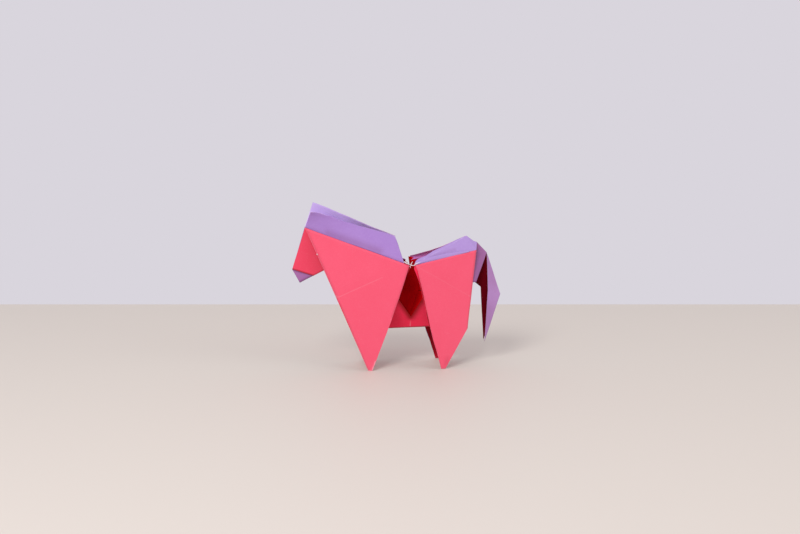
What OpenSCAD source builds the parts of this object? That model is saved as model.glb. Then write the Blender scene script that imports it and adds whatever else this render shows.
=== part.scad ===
// Origami horse: one folded sheet, pink on its outer side and purple on its inner side.
// +X runs from the head to the tail, +Z is up, and the mid-plane of the horse is y = 0.
// The four feet stand on z = 0. Every facet is a thin plate about the paper's middle surface,
// and neighbouring plates run into one another along their shared fold.

/* [Sheet] */
// Thickness of the paper
paper_t = 0.25; // [0.2:0.05:0.4]
// Gap between the two layers of a leg at the withers
layer_gap = 1.2; // [0.8:0.1:2]

/* [Front leg and neck] */
// Length of the raw edge from the withers to the tip of the front foot
front_leg_edge = 78.5; // [70:0.5:84]
// Lean of that edge from the vertical
front_leg_lean = 19.5; // [14:0.2:26]
// Length of the edge from the withers to the poll
neck_edge = 73.4; // [66:0.5:80]
// Rise of the neck edge above the horizontal
neck_rise = 19.8; // [14:0.2:26]
// Outward bend of the chest at the end of the front crease
chest_bend = 0.8; // [0.2:0.1:1.5]
// Height of the blunted tip that each foot loses to the ground
foot_blunt = 3.4; // [1.5:0.1:5]

/* [Mane] */
// Width of the near mane above the neck edge at the poll
mane_near_w = 11.3; // [8:0.1:15]
// Width of the far mane above the neck edge at the poll
mane_far_w = 16.8; // [12:0.1:20]
// Height above the neck edge where the two manes meet at the rear
mane_rear_w = 14; // [10:0.1:18]
// Distance from the withers at which the slanted rear end of the mane starts
mane_start = 3.5; // [3:0.1:8]
// Slant of the mane's rear end, along the neck
mane_slant = 10.5; // [8:0.1:14]
// Outward lean of the manes' top edges at the poll
mane_curl = 2.5; // [1:0.1:4]

/* [Head] */
// Lean of the forehead from the vertical
head_lean = 17; // [12:0.2:22]
// Length of the forehead from the poll to the muzzle
forehead = 29.4; // [24:0.2:36]
// Length of the folded muzzle across the head
muzzle_w = 14.6; // [10:0.2:18]

/* [Hind leg and rump] */
// Lean of the hind leg's raw edge from the vertical
hind_leg_lean = 14.0; // [10:0.1:20]
// Length of the edge from the withers to the croup
rump_edge = 43.8; // [38:0.2:52]
// Rise of the rump edge above the horizontal
rump_rise = 11; // [6:0.5:16]
// Height of the hock, where the hind edge turns towards the foot
hock_h = 26.4; // [20:0.2:34]
// Distance of the hock behind the foot
hock_back = 17.5; // [14:0.1:22]
// Share of the way from croup to hock at which the hind crease ends
hind_crease = 0.6; // [0.45:0.05:0.7]
// Height of the rump peak above the croup
peak_h = 8.2; // [6:0.2:11]
// Distance of the rump peak before the croup
peak_before = 5.9; // [4:0.2:8]

/* [Tail] */
// Reach of the tail root behind the croup
tail_root = 7.8; // [6:0.2:11]
// Length of the tail root's lower side
tail_root_side = 20.5; // [16:0.5:24]
// Length of the tail from its bend to its tip
tail_len = 61; // [50:1:70]
// Depth of the tail at its widest
tail_w = 10.3; // [8:0.2:14]
// Half of the opening at the tip of the tail
tail_open = 2.5; // [1.5:0.1:4]

/* [Widths across the horse] */
// Half of the opening across the withers
withers_half = 13; // [11:0.5:16]
// Half of the stance between the left and right feet
stance_half = 15; // [13:0.5:18]
// Half of the width across the poll
poll_half = 2; // [1.4:0.1:3]
// Half of the width across the croup
croup_half = 5; // [4:0.5:6.5]
// Depth of the slit between the far legs at the withers
slit_h = 3.5; // [2:0.5:6]
// Depth of the folded pocket between the far legs
pocket_depth = 4; // [2:0.5:8]

/* [Body] */
// Distance between the front and hind corners at the withers
withers_gap = 3.7; // [2:0.1:5]
// Height of the keel of the belly above the ground
belly_h = 26.2; // [22:0.2:31]
// Height of the belly's side facets above the keel, at the legs
flank_h = 22.5; // [17:0.5:25]
// Height of the belly's centre crease
crease_h = 8; // [5:0.5:10]

/* [Hidden] */
pink = [1.0, 0.35, 0.45];
purple = [0.68, 0.55, 0.83];
grow = 0.45 * paper_t;             // how far each plate runs past its fold line
touch = 0.3 * paper_t;             // half of the distance where two walls are pressed together
inner_drop = 0.4 * layer_gap;      // how far the inner layer's corner hangs below the outer one's
mane_slices = 4;                   // straight pieces across the twist of a mane
root_reach = 9;                    // how far the tail root's inner corner reaches down inside the rump
ground_spare = 10;                 // how far the block that trims the feet runs past the horse
ground_deep = 20;                  // how deep that block is

function unit(v) = v / norm(v);
// A point part of the way from one point to another
function between(a, b, s) = a + s * (b - a);
// The y at which a plane through three points passes over a side-view position
function plane_y(x, z, p, q, r) =
    let (n = cross(q - p, r - p))
    p[1] - (n[0] * (x - p[0]) + n[2] * (z - p[2])) / n[1];
// An outline made larger on all sides, with its corners kept sharp
function grown(f) = [
    for (i = [0 : len(f) - 1])
        let (
            a = f[(i + len(f) - 1) % len(f)],
            b = f[i],
            c = f[(i + 1) % len(f)],
            u = unit(b - a),
            v = unit(c - b),
            n = [u[1], -u[0]],
            m = [v[1], -v[0]]
        )
        b + grow * (n + m) / (1 + n * m)
];

// Near front leg: withers, foot tip, poll and the middle of the chest edge
front_flat = sqrt(pow(front_leg_edge, 2) - pow(stance_half - withers_half, 2));
withers_h = front_flat * cos(front_leg_lean) - foot_blunt;
neck_flat = sqrt(pow(neck_edge, 2) - pow(withers_half - poll_half, 2));
withers = [0, -withers_half, withers_h];
foot = [-front_flat * sin(front_leg_lean), -stance_half, -foot_blunt];
// Side-view position s along the neck edge from the poll and h above it
function on_neck(s, h, y) = [
    -(neck_flat - s) * cos(neck_rise) + h * sin(neck_rise),
    y,
    withers_h + (neck_flat - s) * sin(neck_rise) + h * cos(neck_rise)
];
poll = on_neck(0, 0, -poll_half);
chest = between(poll, foot, 0.5) - [0, chest_bend, 0];
withers_in = withers + [0, layer_gap, -inner_drop];
function neck_y(s) = between(-poll_half, withers_in[1], s / neck_flat);

// Near hind leg: withers, foot tip, croup, end of the crease and hock
hind_drop = withers_h + foot_blunt;
hind_reach = hind_drop * tan(hind_leg_lean);
rump_flat = sqrt(pow(rump_edge, 2) - pow(withers_half - croup_half, 2));
hind_withers = [withers_gap, -withers_half, withers_h];
hind_foot = [withers_gap + hind_reach, -stance_half, -foot_blunt];
croup = hind_withers + [rump_flat * cos(rump_rise), withers_half - croup_half, rump_flat * sin(rump_rise)];
hock_x = hind_foot[0] + hock_back;
crease_x = between(croup[0], hock_x, hind_crease);
crease_z = between(croup[2], hock_h, hind_crease);
crease_end = [crease_x, between(croup[1], -stance_half, 0.28), crease_z];
hock = [hock_x, plane_y(hock_x, hock_h, hind_withers, crease_end, hind_foot), hock_h];
hind_in = hind_withers + [0, layer_gap, -inner_drop];

// Head: its flank folds down from the neck edge and closes at the muzzle. The jaw runs at 45
// degrees to the forehead, and behind the leg it reaches the neck edge.
function on_head(s, h, y) = [
    poll[0] + s * cos(head_lean) + h * sin(head_lean),
    y,
    poll[2] - s * sin(head_lean) + h * cos(head_lean)
];
head_turn = neck_rise - head_lean;
head_s = (forehead + muzzle_w) / (cos(head_turn) + sin(head_turn));
muzzle_top = on_head(0, -forehead, -touch);
head_back = on_neck(head_s, 0, neck_y(head_s));
jaw_at = on_head(muzzle_w, -forehead, 0);
jaw = [jaw_at[0], plane_y(jaw_at[0], jaw_at[2], poll, muzzle_top, head_back), jaw_at[2]];
muzzle_tip = on_head(muzzle_w / 2, -forehead - muzzle_w / 2, -touch);
jaw_in = jaw + [0, 0.7 * paper_t, 0];

// Rump ridge and tail
peak = [croup[0] - peak_before, -touch, croup[2] + peak_h];
ridge_end = [croup[0] + 1, -touch, croup[2] + 0.57 * peak_h];
root_bend = [croup[0] + tail_root, -touch, ridge_end[2] - tail_root + 0.6];
root_in_x = crease_x - 4;
root_in_z = ridge_end[2] - 0.87 * tail_root_side - root_reach;
root_in = [root_in_x, plane_y(root_in_x, root_in_z, hind_in, croup, crease_end), root_in_z];
root_low_x = root_bend[0] - 0.33 * tail_root_side;
root_low_z = root_bend[2] - 0.95 * tail_root_side;
root_low = [root_low_x, plane_y(root_low_x, root_low_z, ridge_end, root_bend, root_in), root_low_z];
tail_wide = root_bend + [tail_w * 0.94, 0, -0.47 * tail_len];
tail_tip = root_bend + [-0.02 * tail_len, touch - tail_open, -tail_len];
far_tip = [tail_tip[0], -tail_tip[1], tail_tip[2]];
far_edge_x = root_bend[0] - 3.2;
far_edge_z = root_bend[2] - 0.395 * tail_len;
far_bend = [root_bend[0], touch, root_bend[2]];
far_wide = [tail_wide[0], touch, tail_wide[2]];
far_edge = [far_edge_x, plane_y(far_edge_x, far_edge_z, far_bend, far_wide, far_tip), far_edge_z];
far_low = [root_low_x, plane_y(root_low_x, root_low_z, far_bend, far_wide, far_tip), root_low_z];

// Belly: two side facets that rise from a keel on the mid-plane to the raw edges of the legs
flank_z = belly_h + flank_h;
function at_height(a, b, z) = between(a, b, (z - a[2]) / (b[2] - a[2]));
flank_front = at_height(withers_in, foot, flank_z);
flank_hind = at_height(hind_in, hind_foot, flank_z);
flank_slope = -flank_front[1] / flank_h;
keel_front = [between(at_height(foot, chest, belly_h), at_height(foot, withers, belly_h), 0.2)[0], 0, belly_h];
keel_hind = [between(hock, at_height(hind_foot, hind_withers, belly_h), 0.25)[0], 0, belly_h];
mid_x = withers_gap / 2;
crease_top = [mid_x, -flank_slope * crease_h, belly_h + crease_h];
// Where the belly's side facet runs into the inner layer of a leg, at a given x
function belly_meets(x, p, q, r) =
    let (
        n = cross(q - p, r - p),
        bx = -n[0] / n[1],
        cz = -n[2] / n[1],
        a0 = p[1] - bx * p[0] - cz * p[2],
        z = (flank_slope * belly_h - a0 - bx * x) / (flank_slope + cz)
    )
    [x, -flank_slope * (z - belly_h), z];
front_in_x = between(chest[0], flank_front[0], 0.15);
hind_in_x = between(crease_x, flank_hind[0], 0.15);
belly_front = belly_meets(front_in_x, withers_in, foot, chest);
belly_hind = belly_meets(hind_in_x, hind_in, hock, crease_end);
pocket_mid = [mid_x, -withers_half + pocket_depth, between(crease_top[2], withers_h, 0.4)];
slit_end = at_height(between(withers_in, hind_in, 0.7), pocket_mid, withers_in[2] - slit_h);

// One flat facet of the sheet, given by its corners in order. The corners lie in one plane.
module plate(corners) {
    x = unit(corners[1] - corners[0]);
    z = unit(cross(x, corners[2] - corners[0]));
    y = cross(z, x);
    o = corners[0];
    flat = [for (p = corners) [(p - o) * x, (p - o) * y]];
    place = [
        [x[0], y[0], z[0], o[0]],
        [x[1], y[1], z[1], o[1]],
        [x[2], y[2], z[2], o[2]],
        [0, 0, 0, 1]
    ];
    multmatrix(place)
        linear_extrude(height = paper_t, center = true)
            polygon(grown(flat));
}

// Front leg: an outer and an inner layer that share the closed fold along the chest
module front_leg() {
    plate([poll, withers, chest]);
    plate([withers, foot, chest]);
    plate([poll, withers_in, chest]);
    plate([withers_in, foot, chest]);
}

// Hind leg: the same two layers, with the outer corner folded away at croup and hock
module hind_leg() {
    plate([hind_withers, crease_end, croup]);
    plate([hind_withers, hind_foot, hock, crease_end]);
    plate([hind_in, crease_end, croup]);
    plate([hind_in, hock, crease_end]);
    plate([hind_in, hind_foot, hock]);
}

// Head flank and the muzzle folded out below it
module head() {
    color(pink) plate([poll, muzzle_top, jaw, head_back]);
    color(purple) plate([muzzle_top, muzzle_tip, jaw_in]);
}

// Mane: a strip along the neck that twists in from the poll to the ridge
module mane(width, top_y) {
    base_end = neck_flat - mane_start;
    top_end = base_end - mane_slant;
    for (i = [0 : mane_slices - 1]) {
        a = i / mane_slices;
        b = (i + 1) / mane_slices;
        base_a = on_neck(a * base_end, 0, neck_y(a * base_end));
        base_b = on_neck(b * base_end, 0, neck_y(b * base_end));
        top_a = on_neck(a * top_end, between(width, mane_rear_w, a), between(top_y, -touch, a));
        top_b = on_neck(b * top_end, between(width, mane_rear_w, b), between(top_y, -touch, b));
        plate([base_a, base_b, top_a]);
        plate([base_b, top_b, top_a]);
    }
}

// Rump strip: from the rump edge up to the ridge
module rump() {
    plate([hind_in, croup, peak]);
    plate([croup, ridge_end, peak]);
}

// Belly side, with the notch that shows its centre crease
module belly() {
    plate([keel_front, keel_hind, belly_hind, flank_hind, crease_top, flank_front, belly_front]);
}

// Pocket that closes the gap between the far legs above the belly
module pocket() {
    plate([withers_in, flank_front, pocket_mid]);
    plate([flank_front, crease_top, pocket_mid]);
    plate([hind_in, flank_hind, pocket_mid]);
    plate([flank_hind, crease_top, pocket_mid]);
    plate([withers_in, slit_end, pocket_mid]);
    plate([slit_end, hind_in, pocket_mid]);
}

// Everything that is the same on the near and the far side
module side() {
    color(pink) front_leg();
    color(pink) hind_leg();
    head();
    color(purple) rump();
    color(pink) belly();
    color(purple) plate([ridge_end, root_bend, root_low, root_in]);
}

// Tail: two walls that share the fold down to the widest place and stay open below it
module tail() {
    color(purple) plate([root_bend, tail_wide, tail_tip]);
    color(purple) plate([far_bend, far_wide, far_tip, far_edge, far_low]);
}

span_min = muzzle_top[0] - grow;
span_max = tail_wide[0] + grow;
module ground() {
    translate([span_min - ground_spare, -stance_half - ground_spare, -ground_deep])
        cube([span_max - span_min + 2 * ground_spare, 2 * (stance_half + ground_spare), ground_deep]);
}

module folded_sheet() {
    translate([-(span_min + span_max) / 2, 0, 0])
        difference() {
            union() {
                side();
                mirror([0, 1, 0]) side();
                color(purple) mane(mane_near_w, -poll_half - mane_curl);
                color(purple) mirror([0, 1, 0]) mane(mane_far_w, -poll_half - mane_curl);
                color(pink) mirror([0, 1, 0]) pocket();
                tail();
            }
            ground();
        }
}

folded_sheet();
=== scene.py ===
import math

import bpy
import numpy as np
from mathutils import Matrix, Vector, noise


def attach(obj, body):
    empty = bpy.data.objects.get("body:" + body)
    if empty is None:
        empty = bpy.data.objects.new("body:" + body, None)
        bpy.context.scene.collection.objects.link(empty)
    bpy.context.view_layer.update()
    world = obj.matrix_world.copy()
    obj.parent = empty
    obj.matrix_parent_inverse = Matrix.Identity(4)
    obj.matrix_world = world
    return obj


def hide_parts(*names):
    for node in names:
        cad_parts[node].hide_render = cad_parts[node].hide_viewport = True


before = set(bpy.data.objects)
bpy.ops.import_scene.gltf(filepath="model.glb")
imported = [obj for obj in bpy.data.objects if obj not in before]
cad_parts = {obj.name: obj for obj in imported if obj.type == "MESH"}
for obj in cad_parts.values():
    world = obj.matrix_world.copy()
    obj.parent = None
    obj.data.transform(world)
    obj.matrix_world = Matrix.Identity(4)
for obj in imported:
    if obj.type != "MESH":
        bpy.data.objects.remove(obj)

noise.seed_set(1)          # a fixed start, so that the paper crumples the same way each run

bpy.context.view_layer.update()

# ---------------------------------------------------------------- sizes, in mm
PAPER_T = 0.2              # thickness of the paper shown here
NET = 24                   # parts into which each edge of a facet is divided

# The same values as in the part's source
CAD_T = 0.25               # thickness of the solid's plates
LAYER_GAP = 1.2
FRONT_LEG_EDGE = 78.5
FRONT_LEG_LEAN = 19.5
NECK_EDGE = 73.4
NECK_RISE = 19.8
CHEST_BEND = 0.8
FOOT_BLUNT = 3.4
MANE_START = 3.5
MANE_SLANT = 10.5
MANE_CURL = 2.5
HEAD_LEAN = 17.0
FOREHEAD = 29.4
MUZZLE_W = 14.6
HIND_LEG_LEAN = 14.0
RUMP_EDGE = 43.8
RUMP_RISE = 11.0
HOCK_H = 26.4
HOCK_BACK = 17.5
HIND_CREASE = 0.6
PEAK_H = 8.2
PEAK_BEFORE = 5.9
TAIL_ROOT = 7.8
TAIL_ROOT_SIDE = 20.5
TAIL_LEN = 61.0
TAIL_W = 10.3
TAIL_OPEN = 2.5
WITHERS_HALF = 13.0
STANCE_HALF = 15.0
POLL_HALF = 2.0
CROUP_HALF = 5.0
WITHERS_GAP = 3.7
BELLY_H = 26.2
FLANK_H = 22.5
CREASE_H = 8.0
SLIT_H = 3.5
TOUCH = 0.3 * CAD_T
GROW = 0.45 * CAD_T
INNER_DROP = 0.4 * LAYER_GAP
ROOT_REACH = 9.0

# Only here
POCKET_DEPTH = 1.6         # shallower than in the solid, so that the pocket shows one even face
KEEL_TILT = 1.2            # how much lower the belly's front edge hangs
FLIP = np.array([1.0, -1.0, 1.0])


def sind(a):
    return math.sin(math.radians(a))


def cosd(a):
    return math.cos(math.radians(a))


def P(x, y, z):
    return np.array([x, y, z], float)


def between(a, b, s):
    return a + s * (b - a)


def plane_y(x, z, p, q, r):
    """The y at which the plane through p, q and r passes over a side-view position."""
    n = np.cross(q - p, r - p)
    return p[1] - (n[0] * (x - p[0]) + n[2] * (z - p[2])) / n[1]


def in_plane(x, z, p, q, r):
    return P(x, plane_y(x, z, p, q, r), z)


def at_height(a, b, z):
    return between(a, b, (z - a[2]) / (b[2] - a[2]))


def profile(points, s):
    """A value read at s from a short list of (place, value) pairs."""
    places, values = zip(*points)
    return float(np.interp(s, places, values))


def drift(a, b, z, dx, plane):
    """A point at height z beside the straight line from a to b, kept in the panel's plane."""
    q = at_height(a, b, z) + P(dx, 0, 0)
    return in_plane(q[0], q[2], *plane)


# ---------------------------------------------------------------- corners of the near half
# front leg and neck
front_flat = math.sqrt(FRONT_LEG_EDGE**2 - (STANCE_HALF - WITHERS_HALF) ** 2)
withers_h = front_flat * cosd(FRONT_LEG_LEAN) - FOOT_BLUNT
neck_flat = math.sqrt(NECK_EDGE**2 - (WITHERS_HALF - POLL_HALF) ** 2)
withers = P(0, -WITHERS_HALF, withers_h)
foot = P(-front_flat * sind(FRONT_LEG_LEAN), -STANCE_HALF, -FOOT_BLUNT)


def on_neck(s, h, y):
    """A point s along the neck's top fold from the poll, and h above that fold."""
    return P(
        -(neck_flat - s) * cosd(NECK_RISE) + h * sind(NECK_RISE),
        y,
        withers_h + (neck_flat - s) * sind(NECK_RISE) + h * cosd(NECK_RISE),
    )


poll = on_neck(0, 0, -POLL_HALF)
chest = between(poll, foot, 0.5) - P(0, CHEST_BEND, 0)
withers_in = withers + P(0, LAYER_GAP, -INNER_DROP)


def neck_y(s):
    return between(-POLL_HALF, withers_in[1], s / neck_flat)


# hind leg
hind_drop = withers_h + FOOT_BLUNT
rump_flat = math.sqrt(RUMP_EDGE**2 - (WITHERS_HALF - CROUP_HALF) ** 2)
hind_withers = P(WITHERS_GAP, -WITHERS_HALF, withers_h)
hind_foot = P(WITHERS_GAP + hind_drop * math.tan(math.radians(HIND_LEG_LEAN)), -STANCE_HALF, -FOOT_BLUNT)
croup = hind_withers + P(rump_flat * cosd(RUMP_RISE), WITHERS_HALF - CROUP_HALF, rump_flat * sind(RUMP_RISE))
hock_x = hind_foot[0] + HOCK_BACK
crease_x = between(croup[0], hock_x, HIND_CREASE)
crease_z = between(croup[2], HOCK_H, HIND_CREASE)
crease_end = P(crease_x, between(croup[1], -STANCE_HALF, 0.28), crease_z)
hock = in_plane(hock_x, HOCK_H, hind_withers, crease_end, hind_foot)
hind_in = hind_withers + P(0, LAYER_GAP, -INNER_DROP)


# head
def on_head(s, h, y):
    """A point s behind the head's front edge, and h above the poll."""
    return P(
        poll[0] + s * cosd(HEAD_LEAN) + h * sind(HEAD_LEAN),
        y,
        poll[2] - s * sind(HEAD_LEAN) + h * cosd(HEAD_LEAN),
    )


turn = NECK_RISE - HEAD_LEAN
head_s = (FOREHEAD + MUZZLE_W) / (cosd(turn) + sind(turn))
muzzle_top = on_head(0, -FOREHEAD, -TOUCH)
head_back = on_neck(head_s, 0, neck_y(head_s))
jaw_at = on_head(MUZZLE_W, -FOREHEAD, 0)
jaw = in_plane(jaw_at[0], jaw_at[2], poll, muzzle_top, head_back)
muzzle_tip = on_head(MUZZLE_W / 2, -FOREHEAD - MUZZLE_W / 2, -TOUCH)

# rump and tail
peak = P(croup[0] - PEAK_BEFORE, -TOUCH, croup[2] + PEAK_H)
ridge_end = P(croup[0] + 1, -TOUCH, croup[2] + 0.57 * PEAK_H)
root_bend = P(croup[0] + TAIL_ROOT, -TOUCH, ridge_end[2] - TAIL_ROOT + 0.6)
root_in_z = ridge_end[2] - 0.87 * TAIL_ROOT_SIDE - ROOT_REACH
root_in = in_plane(crease_x - 4, root_in_z, hind_in, croup, crease_end)
root_low_x = root_bend[0] - 0.33 * TAIL_ROOT_SIDE
root_low_z = root_bend[2] - 0.95 * TAIL_ROOT_SIDE
root_low = in_plane(root_low_x, root_low_z, ridge_end, root_bend, root_in)
tail_wide = root_bend + P(TAIL_W * 0.94, 0, -0.47 * TAIL_LEN)
tail_tip = root_bend + P(-0.02 * TAIL_LEN, TOUCH - TAIL_OPEN, -TAIL_LEN)
far_bend = root_bend * FLIP
far_wide = tail_wide * FLIP
far_tip = tail_tip * FLIP
far_wall = (far_bend, far_wide, far_tip)
far_edge = in_plane(root_bend[0] - 3.6, root_bend[2] - 0.39 * TAIL_LEN, *far_wall)
far_low = in_plane(root_low[0] - 1.6, root_low[2] - 0.4, *far_wall)

# belly
flank_z = BELLY_H + FLANK_H
flank_front = at_height(withers_in, foot, flank_z)
flank_hind = at_height(hind_in, hind_foot, flank_z)
flank_slope = -flank_front[1] / FLANK_H
front_low = between(at_height(foot, chest, BELLY_H), at_height(foot, withers, BELLY_H), 0.2)
hind_low = between(hock, at_height(hind_foot, hind_withers, BELLY_H), 0.25)
keel_front = P(front_low[0], 0, BELLY_H)
keel_hind = P(hind_low[0], 0, BELLY_H)
mid_x = WITHERS_GAP / 2
crease_top = P(mid_x, -flank_slope * CREASE_H, BELLY_H + CREASE_H)


def belly_meets(x, p, q, r):
    """Where the belly's side plane meets the plane through p, q and r, at a given x."""
    n = np.cross(q - p, r - p)
    slope_x = -n[0] / n[1]
    slope_z = -n[2] / n[1]
    start = p[1] - slope_x * p[0] - slope_z * p[2]
    z = (flank_slope * BELLY_H - start - slope_x * x) / (flank_slope + slope_z)
    return P(x, -flank_slope * (z - BELLY_H), z)


belly_front = belly_meets(between(chest[0], flank_front[0], 0.15), withers_in, foot, chest)
belly_hind = belly_meets(between(crease_x, flank_hind[0], 0.15), hind_in, hock, crease_end)
pocket_mid = P(mid_x, -WITHERS_HALF + POCKET_DEPTH, between(crease_top[2], withers_h, 0.4))
slit_end = at_height(between(withers_in, hind_in, 0.7), pocket_mid, withers_in[2] - SLIT_H)

SHIFT = P(-((muzzle_top[0] - GROW) + (tail_wide[0] + GROW)) / 2, 0, 0)


# ---------------------------------------------------------------- materials
def lin(r, g, b, dim=1.0):
    """A screen colour as the linear values that a shader takes."""
    out = []
    for c in (r, g, b):
        c /= 255
        out.append(dim * (c / 12.92 if c <= 0.04045 else ((c + 0.055) / 1.055) ** 2.4))
    return (*out, 1.0)


def ink(r, g, b):
    """A printed colour: paper gives back about four fifths of the light."""
    return lin(r, g, b, 0.8)


def paper(name, colour, worn, deep, shaded, rough=0.5, sheen=0.12, gloss=0.3):
    """Origami paper: a printed face with fine fibre mottling, paler along its creases.

    deep is the colour of its darker clouds, worn of its rubbed creases and shaded of the painted shade that
    the shade attribute lays on.
    """
    material = bpy.data.materials.new(name)
    material.use_nodes = True
    tree = material.node_tree
    tree.nodes.clear()
    link = tree.links.new

    def node(kind, values):
        made = tree.nodes.new("ShaderNode" + kind)
        for key, value in values.items():
            made.inputs[key].default_value = value
        return made

    def mottle(scale, detail, roughness=0.6, distortion=0.0):
        values = {"Scale": scale, "Detail": detail, "Roughness": roughness, "Distortion": distortion}
        made = node("TexNoise", values)
        link(place.outputs["Object"], made.inputs["Vector"])
        return made.outputs["Fac"]

    def ranged(value, values):
        made = node("MapRange", values)
        link(value, made.inputs["Value"])
        return made

    def attribute(key):
        made = node("Attribute", {})
        made.attribute_name = key
        return made.outputs["Fac"]

    def product(a, b):
        made = node("Math", {})
        made.operation = "MULTIPLY"
        link(a, made.inputs[0])
        link(b, made.inputs[1])
        return made.outputs[0]

    def blend(factor, under, over):
        """Lays the colour over on what is under, which is a colour or a socket."""
        made = node("Mix", {})
        made.data_type = "RGBA"
        link(factor, made.inputs[0])
        if isinstance(under, tuple):
            made.inputs[6].default_value = under
        else:
            link(under, made.inputs[6])
        made.inputs[7].default_value = over
        return made.outputs[2]

    place = node("TexCoord", {})
    fibre = mottle(1400, 5, 0.7, 0.6)
    clouds = ranged(mottle(70, 3), {"From Min": 0.3, "From Max": 0.7, "To Max": 0.35})
    specks = ranged(fibre, {"From Min": 0.52, "From Max": 0.78, "To Max": 0.22})
    # the distance to the nearest crease, in crease widths, gives a fine rubbed line
    line = ranged(attribute("crease_away"), {"From Max": 1.6, "To Min": 1.0, "To Max": 0.0})
    line.interpolation_type = "SMOOTHSTEP"
    wear = product(line.outputs[0], attribute("crease_much"))
    rubbed = ranged(mottle(500, 4, 0.7), {"From Min": 0.2, "From Max": 0.5})
    tint = blend(clouds.outputs[0], colour, deep)
    tint = blend(specks.outputs[0], tint, worn)
    tint = blend(product(wear, rubbed.outputs[0]), tint, worn)
    # painted shade: where the shade attribute is high, the face turns toward its shaded colour
    tint = blend(attribute("shade"), tint, shaded)
    roughness = ranged(fibre, {"To Min": rough - 0.06, "To Max": rough + 0.08})
    bump = node("Bump", {"Strength": 0.25, "Distance": 0.00004})
    link(fibre, bump.inputs["Height"])
    shine = {"Sheen Weight": sheen, "Sheen Roughness": 0.5, "Specular IOR Level": gloss}
    bsdf = node("BsdfPrincipled", shine)
    link(tint, bsdf.inputs["Base Color"])
    link(roughness.outputs[0], bsdf.inputs["Roughness"])
    link(bump.outputs[0], bsdf.inputs["Normal"])
    link(bsdf.outputs[0], node("OutputMaterial", {}).inputs[0])
    return material


def dull(name, colour, worn, deep, shaded):
    """Paper on a hidden side, with hardly any shine."""
    return paper(name, colour, worn, deep, shaded, rough=0.7, sheen=0.0, gloss=0.03)


PINK = paper("paper_pink", ink(255, 89, 120), ink(255, 165, 180), ink(250, 79, 109), ink(130, 0, 12))
# painted shade: a darker copy of the pink for the head, which sits back in the leg's shade
PINK_HEAD_SHADED = paper(
    "paper_pink_head_shaded", ink(249, 66, 100), ink(255, 150, 165), ink(243, 58, 90), ink(190, 2, 26)
)
# painted shade: a deeper, more saturated pink for the belly and the inner layers' outer faces
PINK_SATURATED_SHADE = paper(
    "paper_pink_saturated_shade", lin(255, 44, 86), lin(255, 160, 175), lin(248, 40, 78), lin(150, 0, 10), gloss=0.08
)
# painted shade: a darker, redder pink for the inner layers' faces inside the body
PINK_INNER_SHADE = paper(
    "paper_pink_inner_shade", ink(242, 40, 74), ink(255, 110, 130), ink(236, 30, 62), ink(120, 0, 10),
    sheen=0.02, gloss=0.05,
)
# painted shade: the pink paper as a very dark red, for faces and cut edges deep inside the body
PINK_INSIDE_SHADE = dull("paper_pink_inside_shade", ink(236, 2, 14), ink(235, 30, 50), ink(200, 0, 8), ink(150, 0, 4))
# painted shade: the pink paper as a dark red, for the inside of the far belly
PINK_FLANK_SHADE = dull("paper_pink_flank_shade", lin(230, 2, 12), lin(255, 40, 60), lin(236, 0, 10), lin(180, 0, 5))
# painted shade: the pink paper as a near-black red, for the inside of the tail
TAIL_INSIDE_SHADE = dull("paper_tail_inside_shade", ink(102, 0, 18), ink(136, 10, 34), ink(90, 0, 12), ink(70, 0, 6))
PURPLE = paper("paper_purple", ink(173, 132, 206), ink(222, 200, 245), ink(164, 121, 196), ink(130, 66, 118))
# painted light: a lighter copy of the purple paper for the rump strips
PURPLE_RUMP_LIT = paper(
    "paper_purple_rump_lit", ink(178, 146, 212), ink(225, 206, 246), ink(170, 136, 204), ink(120, 50, 96)
)
PURPLE_LIT = paper(
    "paper_purple_lit", lin(224, 188, 255), lin(240, 225, 255), lin(214, 176, 246), ink(175, 153, 208)
)
# painted light: a lighter, pinker copy of the purple paper for the tail walls
PURPLE_TAIL_LIT = paper(
    "paper_purple_tail_lit", ink(188, 142, 202), ink(226, 204, 240), ink(180, 132, 192), ink(150, 92, 138)
)
# painted reflection: the purple paper made bright and pinkish, for the far rump strip's inner face, lit by
# light thrown back from the pink inside
PURPLE_PINK_REFLECTION = paper(
    "paper_purple_pink_reflection", lin(222, 138, 222), lin(235, 170, 235), lin(210, 126, 208), lin(150, 60, 110),
    gloss=0.1,
)
# painted reflection and shade: the purple paper tinged pink by light from the pink leg and darkened, for the
# muzzle and the tail root
PURPLE_SHADE_PINK_REFLECTION = paper("paper_purple_shade_pink_reflection", ink(174, 110, 172), ink(214, 180, 225), ink(165, 100, 160), ink(92, 30, 74))
FIBRE = paper(
    "paper_fibre", ink(252, 236, 240), ink(255, 250, 250), ink(246, 222, 230), ink(210, 160, 180), 0.7
)
EDGE_PINK = paper(
    "paper_cut_edge_pink", lin(255, 112, 140), lin(255, 180, 192), lin(250, 100, 128), lin(150, 10, 30), 0.7
)
EDGE = paper(
    "paper_cut_edge", ink(240, 205, 222), ink(250, 235, 240), ink(232, 190, 212), ink(200, 150, 170), 0.7
)


# ---------------------------------------------------------------- paper meshes
def noise_at(p, size, seed):
    q = Vector((p[0] / size + seed, p[1] / size - 2 * seed, p[2] / size + 3 * seed))
    return np.array(noise.noise_vector(q), float)


def crumpled(p, amount):
    """A point moved by a broad and a finer wave of the paper."""
    return p + amount * noise_at(p, 14.0, 1.7) + 0.35 * amount * noise_at(p, 4.5, 5.1)


def seg_dist(p, a, b):
    """How far each of the points p is from the stretch between a and b."""
    d = b - a
    t = np.clip(((p - a) @ d) / (d @ d), 0, 1)
    return np.linalg.norm(p - (a + t[:, None] * d), axis=1)


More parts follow.
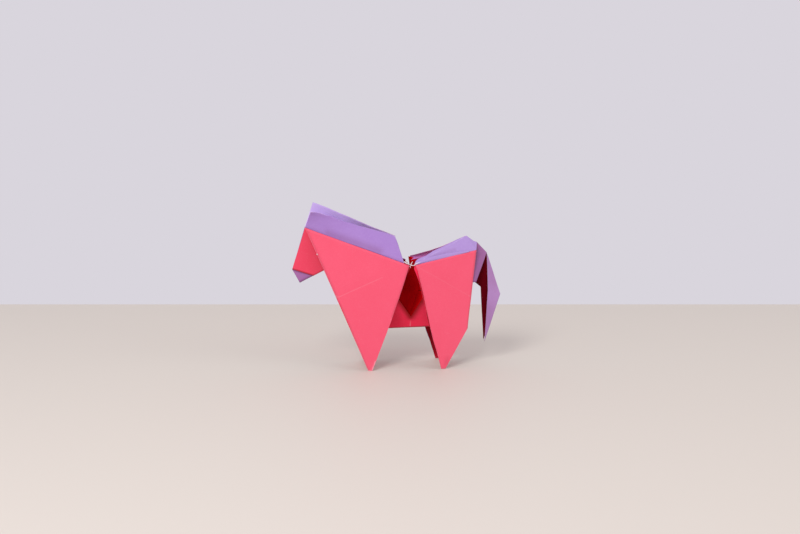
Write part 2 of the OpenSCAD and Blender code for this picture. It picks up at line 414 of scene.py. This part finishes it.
class Leaf:
    """A stretch of the sheet: triangles that share their folds, each laid out as a fine net."""

    def __init__(self, out=-1):
        """out is the sign of y on the printed side."""
        self.points = []
        self.faces = []
        self.keys = {}
        self.out = out

    def vertex(self, p):
        key = tuple(np.round(p, 4))
        if key not in self.keys:
            self.keys[key] = len(self.points)
            self.points.append(np.array(p, float))
        return self.keys[key]

    def triangle(self, a, b, c, n=NET):
        if np.cross(b - a, c - a)[1] * self.out < 0:
            b, c = c, b
        net = {}
        for i in range(n + 1):
            for j in range(n + 1 - i):
                u = i / n
                v = j / n
                net[i, j] = self.vertex(a * (1 - u - v) + b * u + c * v)
        for i in range(n):
            for j in range(n - i):
                self.faces.append((net[i, j], net[i + 1, j], net[i, j + 1]))
                if i + j < n - 1:
                    self.faces.append((net[i + 1, j], net[i + 1, j + 1], net[i, j + 1]))

    def fan(self, tip, edge):
        """Triangles from one tip to each stretch of an edge."""
        for a, b in zip(edge, edge[1:]):
            self.triangle(a, b, tip)

    def grid(self, rows):
        u = rows[0][-1] - rows[0][0]
        v = rows[-1][0] - rows[0][0]
        if np.cross(u, v)[1] * self.out < 0:
            rows = rows[::-1]
        net = [[self.vertex(p) for p in row] for row in rows]
        for lower, upper in zip(net, net[1:]):
            for i in range(len(lower) - 1):
                self.faces.append((lower[i], lower[i + 1], upper[i + 1]))
                self.faces.append((lower[i], upper[i + 1], upper[i]))

    def build(self, name, front, back, far=False, creases=(), crumple=0.12, sharp=9.0, shades=(), rim=EDGE):
        """creases are (from, to, width, strength); shades are the same, for painted shade."""
        points = np.array(self.points)
        away = np.full(len(points), 60.0)
        much = np.zeros(len(points))
        for a, b, width, strength in creases:
            d = seg_dist(points, a, b) / width
            much = np.where(d < away, strength, much)
            away = np.minimum(away, d)
        shade = np.zeros(len(points))
        for a, b, width, strength in shades:
            d = seg_dist(points, a, b)
            shade = np.maximum(shade, strength * np.exp(-((d / width) ** 2)))
        moved = np.array([crumpled(p, crumple) for p in points])
        moved[:, 2] = np.maximum(moved[:, 2], points[:, 2].min())
        if far:
            moved = moved * FLIP
        moved = (moved + SHIFT) / 1000
        faces = [f[::-1] for f in self.faces] if far else self.faces
        mesh = bpy.data.meshes.new(name)
        mesh.from_pydata([tuple(p) for p in moved], [], faces)
        mesh.validate()
        for key, values in (("crease_away", away), ("crease_much", much), ("shade", shade)):
            attribute = mesh.attributes.new(key, "FLOAT", "POINT")
            attribute.data.foreach_set("value", values.astype(np.float32))
        for material in (front, back, rim):
            mesh.materials.append(material)
        mesh.polygons.foreach_set("use_smooth", [True] * len(mesh.polygons))
        mesh.set_sharp_from_angle(angle=math.radians(sharp))
        ob = bpy.data.objects.new(name, mesh)
        bpy.context.scene.collection.objects.link(ob)
        solid = ob.modifiers.new("thickness", "SOLIDIFY")
        solid.thickness = PAPER_T / 1000
        solid.offset = 0
        solid.material_offset = 1
        solid.material_offset_rim = 2
        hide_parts("folded_sheet")
        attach(ob, "root")


def side_of(far):
    return "far" if far else "near"


# ---------------------------------------------------------------- legs and head
def front_leg(far):
    # the outer layer, whose crease meets the chest edge a little above its corner
    knee = chest + P(0.35, 0, 0)
    fold_end = between(knee, poll, 0.058)
    lower = (withers, foot, chest)
    jog = drift(chest, foot, chest[2] - 3.0, 0.9, lower)
    low_l = at_height(chest, foot, 0.3)
    low_r = at_height(withers, foot, 0.3)
    tip = between(low_l, low_r, 0.55) - P(0, 0, 0.3)
    bulge = ((62, 0.35), (50, 0.7), (36, 0.8), (18, 0.45), (6, 0.2))
    edge = [withers] + [drift(withers, foot, z, dx, lower) for z, dx in bulge] + [low_r]
    leaf = Leaf()
    leaf.triangle(poll, fold_end, withers)
    leaf.fan(fold_end, edge[:4])
    leaf.triangle(fold_end, jog, edge[3])
    leaf.triangle(jog, low_l, edge[3])
    leaf.fan(low_l, edge[3:])
    leaf.triangle(low_l, tip, low_r)
    creases = [
        (between(withers, fold_end, 0.35), fold_end, 0.28, 0.26),
        (poll, fold_end, 0.25, 0.45),
        (jog, low_l, 0.25, 0.45),
        (edge[1], edge[3], 0.15, 0.25),
        (edge[3], edge[5], 0.2, 0.35),
        (edge[5], low_r, 0.9, 1.0),
        (low_l, low_r, 0.45, 0.5),
    ]
    leaf.build(f"leg_front_outer_{side_of(far)}", PINK, PURPLE, far, creases, rim=EDGE_PINK)

    # the inner layer shows its printed side to the middle and peeps out along the chest
    peep = P(-0.1, 0.1, 0)
    knee_in = knee + peep
    top_in = poll + P(0.0, 0.15, -0.3)
    low_in_r = at_height(withers_in, foot, 0.3)
    low_in_l = at_height(knee_in, foot + peep, 0.3)
    inner = [
        withers_in + P(0.4, -0.5, 0),
        at_height(withers_in, foot, 67.6) + P(1.1, -0.5, 0),
        at_height(withers_in, foot, 63.5),
    ]
    leaf = Leaf(1)
    leaf.triangle(top_in, inner[0], knee_in)
    leaf.fan(knee_in, inner)
    leaf.triangle(inner[2], low_in_l, knee_in)
    leaf.triangle(inner[2], low_in_r, low_in_l)
    creases = [(low_in_r, low_in_l, 0.6, 0.5), (knee_in, low_in_l, 0.2, 0.4)]
    # painted shade, deepest high inside the body
    shades = [(withers_in, P(-22, -12, 48), 22, 0.95)]
    leaf.build(f"leg_front_inner_{side_of(far)}", PINK_INNER_SHADE, PINK_SATURATED_SHADE, far, creases, rim=EDGE_PINK,
               shades=shades)


def hind_swell(z, far):
    """How far the far hind leg's front edge swells forward at height z."""
    return profile([(0, 0.0), (14, 0.7), (26, 1.7), (34, 1.2), (44, 0.0)], z) if far else 0.0


def hind_leg(far):
    # the outer layer
    low_l = at_height(hind_withers, hind_foot, 0.0)
    low_r = at_height(hock, hind_foot, 0.0)
    outer = (hind_withers, hind_foot, hock)
    bulge = ((66.0, 0.9), (54.0, 0.75), (40.0, 0.25), (28.0, -0.35), (20.0, -0.45), (11.0, 0.0))
    edge = [hind_withers]
    for z, dx in bulge:
        edge.append(drift(hind_withers, hind_foot, z, dx - hind_swell(z, far), outer))
    edge.append(low_l)
    leaf = Leaf()
    leaf.triangle(edge[0], croup, crease_end)
    leaf.fan(crease_end, edge[:4])
    leaf.triangle(edge[3], crease_end, hock)
    leaf.fan(hock, edge[3:])
    leaf.triangle(edge[-1], hock, low_r)
    bend_l = at_height(hind_withers, hind_foot, 9.5) + P(1.5, 0, 0)
    bend_r = at_height(hock, hind_foot, 9.5) + P(-1.5, 0, 0)
    creases = [
        (hind_withers, crease_end, 0.26, 0.13),
        (croup, hock, 0.2, 0.22),
        (hock, low_r, 0.2, 0.3),
        (edge[1], edge[3], 0.2, 0.4),
        (edge[3], edge[-1], 0.2, 0.35),
        (low_l, low_r, 0.5, 0.5),
        (bend_l, bend_r, 0.3, 0.22),
    ]
    # painted shade on the foot's tip, below its faint fold
    shades = [(P(24.5, -14, 3), P(25.6, -14, 6.5), 1.8, 0.14)]
    leaf.build(f"leg_hind_outer_{side_of(far)}", PINK, PURPLE, far, creases, shades=shades, rim=EDGE_PINK)

    # the inner layer
    bulge = ((67.5, -1.0), (59.0, 0.1), (40.0, -0.45), (31.0, -0.75), (26.0, -0.3), (14.0, -0.1))
    inner = [hind_in + P(-0.5, -0.6, 0)]
    for z, dx in bulge:
        inner.append(drift(hind_in, hind_foot, z, dx - hind_swell(z, far), (hind_in, hind_foot, hock)))
    inner[1] = inner[1] + P(0, -0.6, 0)
    inner.append(at_height(hind_in, hind_foot, 0.0))
    low_in_r = low_r + P(-0.2, 0, 0)
    leaf = Leaf(1)
    leaf.triangle(inner[0], crease_end, croup)
    leaf.fan(crease_end, inner[:4])
    leaf.triangle(inner[3], hock, crease_end)
    leaf.fan(hock, inner[3:])
    leaf.triangle(inner[-1], low_in_r, hock)
    # painted shade, deepest high inside the body and on the part seen between the legs
    shades = [
        (P(15, -12, 52), P(28, -12, 44), 14, 0.95),
        (P(14, -13, 34), P(20, -13, 8), 9, 0.9),
    ]
    leaf.build(f"leg_hind_inner_{side_of(far)}", PINK_INNER_SHADE, PINK_SATURATED_SHADE, far,
               [(inner[-1], low_in_r, 0.5, 0.5)], rim=EDGE_PINK, shades=shades)


def head(far):
    leaf = Leaf()
    leaf.triangle(poll, muzzle_top, jaw)
    leaf.triangle(poll, jaw, head_back)
    # painted shade: broad across the head from poll to jaw, and a painted shadow line along the muzzle's
    # edge
    shades = [(poll + P(1, 0, 0), jaw + P(4, 0, 0), 7, 0.22), (muzzle_top, jaw, 0.35, 0.8)]
    creases = [(poll, muzzle_top, 0.2, 0.25)]
    leaf.build(f"head_{side_of(far)}", PINK_HEAD_SHADED, PURPLE, far, creases, shades=shades)

    # the muzzle is turned up inside the head, so its layer runs on above the head's lower edge
    above = -FOREHEAD + 3
    left = muzzle_top + P(0, 0.1, 0)
    right = jaw + P(0, 0.5, 0)
    top_l = on_head(0.6, above, -TOUCH)
    top_r = on_head(MUZZLE_W + 2.5, above, jaw[1] + 0.45)
    leaf = Leaf()
    leaf.triangle(left, muzzle_tip, right)
    leaf.triangle(left, right, top_r)
    leaf.triangle(left, top_r, top_l)
    # painted shadow along the muzzle's top edge and along its fold to the jaw
    shades = [(muzzle_top, jaw, 0.8, 0.6), (muzzle_tip, jaw, 1.2, 0.6)]
    creases = [(muzzle_top, muzzle_tip, 0.2, 0.3)]
    leaf.build(f"muzzle_{side_of(far)}", PURPLE_SHADE_PINK_REFLECTION, PURPLE_SHADE_PINK_REFLECTION, far, creases, shades=shades)


# ---------------------------------------------------------------- mane and rump
def mane(far):
    base_len = neck_flat - MANE_START
    top_len = base_len - MANE_SLANT
    if far:
        heights = [(0, 17.0), (3, 17.1), (24, 16.0), (33, 15.4), (43, 14.8), (52, 14.5), (top_len, 14.2)]
    else:
        heights = [
            (0, 11.5), (3, 12.3), (6, 12.5), (10, 12.3), (13, 12.9), (16, 12.8), (19, 12.4), (25, 12.4),
            (34, 12.9), (43, 13.6), (52, 14.0), (top_len, 14.0),
        ]
    y_front = -POLL_HALF - MANE_CURL
    columns = 96
    levels = 24
    rows = []
    for j in range(levels + 1):
        v = j / levels
        row = []
        for i in range(columns + 1):
            t = i / columns
            base = on_neck(t * base_len, 0, neck_y(t * base_len) - 0.7 * t)
            s = t * top_len
            top = on_neck(s, profile(heights, s), between(y_front, -TOUCH, t ** 0.8))
            p = between(base, top, v)
            # the strip stands up from its fold before it leans over to the ridge
            p[1] -= 1.3 * t * math.sin(math.pi * v)
            if not far:
                # a lip rolls outwards along the front part of the top edge
                p[1] += (1 - t) ** 2 * 0.5 * math.sin(math.pi * v)
                p[1] -= 0.3 * max(0.0, v - 0.8) * 5 * (1 - t) ** 1.5
            row.append(p)
        rows.append(row)
    leaf = Leaf()
    leaf.grid(rows)
    base, top = rows[0], rows[-1]
    # painted shade: on the far strip along its top, deepest where the near strip shades it; on the near
    # strip along its foot
    if far:
        shades = [(top[0], top[26], 12, 0.72), (top[36], top[60], 6, 0.72), (top[60], top[-1], 9, 0.55)]
    else:
        shades = [(base[0], base[-1], 1.4, 0.3), (rows[3][22], rows[3][72], 2.8, 0.34)]
    creases = [(top[0], top[-1], 0.3, 0.7), (base[0], top[0], 0.4, 0.75), (base[-1], top[-1], 0.6, 0.9)]
    leaf.build(f"mane_{side_of(far)}", PURPLE, PURPLE_LIT, far, creases, crumple=0.25, shades=shades)


def rump(far):
    if far:
        heights = [(0, 2.6), (14, 4.3), (22, 5.9), (38.0, 9.9)]
    else:
        heights = [
            (0, 0.5), (1.2, 2.2), (3, 3.2), (8.7, 3.6), (11, 4.4), (14.0, 5.6), (21.4, 7.0), (31, 8.9),
            (38.0, 9.9),
        ]
    rise = P(cosd(RUMP_RISE), 0, sind(RUMP_RISE))
    up = P(-sind(RUMP_RISE), 0, cosd(RUMP_RISE))
    top_len = (peak - hind_withers) @ rise
    columns = 72
    levels = 20
    rows = []
    for j in range(levels + 1):
        v = j / levels
        row = []
        for i in range(columns + 1):
            t = i / columns
            base = between(hind_in, croup, t)
            top = hind_withers + t * top_len * rise + profile(heights, t * top_len) * up
            top[1] = between(hind_in[1], -TOUCH, t ** 0.7)
            p = between(base, top, v)
            p[1] -= 0.8 * math.sin(math.pi * v) * (1 - t)
            row.append(p)
        rows.append(row)
    top = rows[-1]
    end_at = ridge_end + P(0, -0.3, 0)
    dip = between(top[-1], end_at, 0.68) - P(0, 0, 0.7)
    leaf = Leaf()
    leaf.grid(rows)
    leaf.triangle(croup, dip, top[-1], levels)
    leaf.triangle(croup, end_at, dip, levels)
    # painted shade along the far strip's top, and a soft painted shadow above the near strip's turned edge
    if far:
        shades = [(top[0], top[30], 5, 0.2)]
    else:
        shades = [(rows[12][20], rows[9][50], 1.2, 0.16)]
    creases = [(top[0], top[-1], 0.25, 0.5), (top[-1], dip, 0.25, 0.3)]
    leaf.build(f"rump_{side_of(far)}", PURPLE_RUMP_LIT, PURPLE_PINK_REFLECTION, far, creases, crumple=0.2, shades=shades)


def rump_turned_edge():
    """The raw edge of the near rump strip, turned over along its lower front part."""
    columns = 48
    levels = 8
    rows = []
    for j in range(levels + 1):
        v = j / levels
        row = []
        for i in range(columns + 1):
            t = i / columns
            base = between(hind_in, croup, 0.03 + 0.85 * t) + P(0, -0.35, 0)
            width = profile([(0, 1.6), (0.15, 2.6), (0.3, 3.0), (0.5, 2.9), (0.8, 2.0), (1, 0.5)], t)
            lean = profile([(0, 0.5), (1, 2.4)], t) * width / 4
            swell = 0.35 * math.sin(math.pi * v)
            row.append(base + P(-sind(RUMP_RISE) * width * v, lean * v * 0.6 - swell, width * v))
        rows.append(row)
    leaf = Leaf()
    leaf.grid(rows)
    creases = [(rows[-1][0], rows[-1][-1], 0.25, 0.5)]
    leaf.build("rump_turned_edge", PURPLE_RUMP_LIT, PURPLE_RUMP_LIT, False, creases, crumple=0.1)


# ---------------------------------------------------------------- belly and pocket
def belly(far):
    keel_low = keel_front - P(0, 0, KEEL_TILT)
    keel_mid = P(mid_x, 0, BELLY_H - KEEL_TILT / 3)
    leaf = Leaf()
    leaf.triangle(keel_low, keel_mid, flank_front)
    leaf.triangle(keel_low, flank_front, belly_front)
    leaf.triangle(keel_mid, crease_top, flank_front)
    leaf.triangle(keel_mid, flank_hind, crease_top)
    leaf.triangle(keel_mid, keel_hind, flank_hind)
    leaf.triangle(keel_hind, belly_hind, flank_hind)
    creases = [(P(mid_x, -0.4, BELLY_H + 0.6), crease_top + P(0, 0, -1.2), 0.3, 0.7)]
    # painted shade along the diamond's edges, a painted shadow line along the keel and a broad painted shade
    # towards the front
    shades = [
        (flank_front, crease_top, 3.0, 1.0),
        (flank_hind, crease_top + P(0, 0, 0.5), 3.4, 1.0),
        (keel_low, keel_hind, 0.7, 0.9),
        (flank_front + P(-6, 0, -6), P(-9, -4, 31), 11, 0.3),
    ]
    leaf.build(f"belly_{side_of(far)}", PINK_SATURATED_SHADE, PINK_FLANK_SHADE if far else PINK_INNER_SHADE, far, creases,
               crumple=0.06, shades=shades, rim=PINK_INSIDE_SHADE)


def pocket():
    """The face behind the diamond between the legs, on the far side only, dark with painted shade."""
    # its paper runs on inside the hind leg
    leg = (hind_in, hind_foot, hock)
    inwards = P(0, 0.7, 0)
    wing_top = drift(hind_in, flank_hind, 62.0, 4.5, leg) + inwards
    wing_low = drift(hind_in, flank_hind, flank_hind[2], 5.5, leg) + inwards
    leaf = Leaf(1)
    leaf.triangle(flank_front, pocket_mid, crease_top)
    leaf.triangle(flank_hind, crease_top, pocket_mid)
    leaf.triangle(withers_in, pocket_mid, flank_front)
    leaf.triangle(hind_in, flank_hind, pocket_mid)
    leaf.triangle(withers_in, slit_end, pocket_mid)
    leaf.triangle(slit_end, hind_in, pocket_mid)
    leaf.triangle(hind_in, wing_top, wing_low)
    leaf.triangle(hind_in, wing_low, flank_hind)
    # painted shade, deepest near the withers
    leaf.build("pocket", PINK_INSIDE_SHADE, PINK_INNER_SHADE, True, crumple=0.15, sharp=60.0, rim=PINK_INSIDE_SHADE,
               shades=[(withers_in, P(3, -14, 62), 13, 0.55)])

    # the far hind corner stands up beside the slit
    corner = P(2.0, -12.2, 72.4)
    leaf = Leaf(1)
    leaf.triangle(corner, P(9.6, -11.4, 71.8), slit_end + P(0.3, 0, 0))
    # painted shade along the slit
    leaf.build("far_hind_corner", PINK_INSIDE_SHADE, PURPLE, True, crumple=0.15, rim=PINK_INSIDE_SHADE,
               shades=[(corner, slit_end, 1.6, 0.8)])


# ---------------------------------------------------------------- tail
def tail_root(far):
    low_x = root_low[0] - 1.2
    low = in_plane(low_x, root_low[2] + 0.4, ridge_end, root_bend, root_in)
    leaf = Leaf()
    leaf.triangle(ridge_end, root_in, low)
    leaf.triangle(ridge_end, low, root_bend)
    creases = [(ridge_end, root_bend, 0.3, 0.35), (root_bend, low, 0.2, 0.25)]
    # painted shadow: a dark line under the rump strip's end, with broader painted shade below it and along
    # the lower edge
    shades = [
        (ridge_end + P(-0.2, 0, 0), ridge_end + P(-1.0, 0, -5.5), 0.55, 0.95),
        (ridge_end + P(-1, 0, -4), low, 9, 0.3),
        (root_in, low, 1.0, 0.4),
    ]
    leaf.build(f"tail_root_{side_of(far)}", PURPLE_SHADE_PINK_REFLECTION, TAIL_INSIDE_SHADE, far, creases, shades=shades)


def tail_walls():
    mid = between(root_bend, tail_tip, 0.42) + P(1.5, 0, 0)
    leaf = Leaf()
    leaf.triangle(root_bend, mid, tail_wide)
    leaf.triangle(mid, tail_tip, tail_wide)
    creases = [(root_bend, tail_wide, 0.25, 0.35), (root_bend, mid, 0.15, 0.3)]
    # painted shade towards the tail's tip and along its top
    shades = [
        (tail_tip, between(tail_tip, mid, 0.6), 8, 0.35),
        (root_bend, between(root_bend, tail_wide, 0.6), 8, 0.28),
    ]
    leaf.build("tail_near", PURPLE_TAIL_LIT, TAIL_INSIDE_SHADE, False, creases, shades=shades)

    leaf = Leaf(1)
    leaf.fan(far_bend, [far_wide, far_tip, far_edge, far_low])
    leaf.build("tail_far", PURPLE_TAIL_LIT, TAIL_INSIDE_SHADE, False, [(far_bend, far_wide, 0.25, 0.35)])


# ---------------------------------------------------------------- torn paper
def sliver(number, a, b, width, sag):
    """A thin tapering shred from a to b, which hangs through by its sag."""
    steps = 12
    across = np.cross(b - a, P(0, 1, 0))
    across = across / np.linalg.norm(across)
    rows = []
    for i in range(steps + 1):
        t = i / steps
        half = width * (1 - 0.75 * t) / 2
        swing = math.sin(math.pi * t)
        middle = between(a, b, t) - across * sag * swing + P(0, -0.5 * swing, 0)
        rows.append([middle - across * half, middle, middle + across * half])
    leaf = Leaf()
    leaf.grid(rows)
    leaf.build(f"withers_fibre_{number}", FIBRE, FIBRE, crumple=0.05)


def fibres():
    """Torn slivers of paper where the slit ends at the withers, and one speck on the neck's front edge."""
    speck = between(poll, chest, 0.35) + P(0.3, -0.3, 0)
    slivers = [
        (P(-3.5, -12.9, 73.1), P(0.9, -13.2, 71.0), 0.75, 0.3),
        (P(0.9, -13.3, 71.0), P(2.2, -13.0, 73.2), 0.6, -0.25),
        (P(0.5, -13.3, 70.8), P(4.1, -13.3, 70.8), 0.6, 0.2),
        (P(3.2, -13.3, 70.9), P(4.3, -12.9, 72.9), 0.45, 0.3),
        (P(3.9, -13.3, 71.2), P(7.2, -13.0, 72.7), 0.6, -0.15),
        (P(-2.6, -12.8, 74.0), P(-1.5, -12.9, 72.4), 0.35, 0.2),
        (P(0.5, -13.1, 70.4), P(1.0, -12.8, 68.8), 0.45, 0.3),
        (speck, speck + P(0.5, 0, -0.8), 0.6, 0.0),
    ]
    for number, shred in enumerate(slivers):
        sliver(number, *shred)


for far_side in (False, True):
    front_leg(far_side)
    hind_leg(far_side)
    head(far_side)
    mane(far_side)
    rump(far_side)
    if not far_side:
        rump_turned_edge()
    belly(far_side)
    if far_side:
        pocket()
for far_side in (False, True):
    tail_root(far_side)
tail_walls()
fibres()


# ---------------------------------------------------------------- floor, light and camera
VIEW_TURN = math.radians(-6)     # the camera looks a little from the head's side
VIEW_TILT = math.radians(80)     # and ten degrees down


def flat_material(name, colour):
    material = bpy.data.materials.new(name)
    material.use_nodes = True
    bsdf = material.node_tree.nodes["Principled BSDF"]
    bsdf.inputs["Base Color"].default_value = colour
    bsdf.inputs["Roughness"].default_value = 0.6
    return material


def pale_floor():
    """A floor whose far edge lies square to the view, a little behind the horse."""
    half = 3.0
    behind = 0.2
    corners = [(-half, -half, 0), (half, -half, 0), (half, behind, 0), (-half, behind, 0)]
    mesh = bpy.data.meshes.new("floor")
    mesh.from_pydata(corners, [], [(0, 1, 2, 3)])
    mesh.materials.append(flat_material("floor_pale", ink(226, 216, 206)))
    floor = bpy.data.objects.new("floor", mesh)
    floor.rotation_euler = (0, 0, VIEW_TURN)
    bpy.context.scene.collection.objects.link(floor)


def studio_world():
    """Even light from all around; the camera sees a plain pale backdrop."""
    world = bpy.data.worlds.new("studio")
    bpy.context.scene.world = world
    world.use_nodes = True
    nodes = world.node_tree.nodes
    link = world.node_tree.links.new
    light = nodes["Background"]
    light.inputs["Color"].default_value = lin(232, 230, 236)
    light.inputs["Strength"].default_value = 0.95
    backdrop = nodes.new("ShaderNodeBackground")
    backdrop.inputs["Color"].default_value = lin(217, 213, 221)
    ray = nodes.new("ShaderNodeLightPath")
    pick = nodes.new("ShaderNodeMixShader")
    link(ray.outputs["Is Camera Ray"], pick.inputs[0])
    link(light.outputs[0], pick.inputs[1])
    link(backdrop.outputs[0], pick.inputs[2])
    link(pick.outputs[0], nodes["World Output"].inputs[0])


def area_light(name, place, size, power):
    target = Vector((0, 0, 0.05))
    light = bpy.data.lights.new(name, "AREA")
    light.shape = "DISK"
    light.size = size
    light.energy = power
    lamp = bpy.data.objects.new(name, light)
    lamp.location = place
    lamp.rotation_euler = (target - Vector(place)).to_track_quat("-Z", "Y").to_euler()
    bpy.context.scene.collection.objects.link(lamp)


def photo_camera():
    cam = bpy.data.cameras.new("camera")
    cam.sensor_width = 36.0
    cam.lens = 53.73
    cam.clip_start = 0.01
    camera = bpy.data.objects.new("camera", cam)
    camera.location = (SHIFT[0] / 1000 - 0.0873, -0.7835, 0.2062)
    camera.rotation_euler = (VIEW_TILT, 0, VIEW_TURN)
    bpy.context.scene.collection.objects.link(camera)
    bpy.context.scene.camera = camera


pale_floor()
studio_world()
area_light("key", (-0.47, -0.84, 0.85), 0.5, 8.25)
area_light("fill", (0.9, -0.5, 0.5), 0.7, 2.1)
photo_camera()
bpy.context.scene.view_settings.view_transform = "Standard"
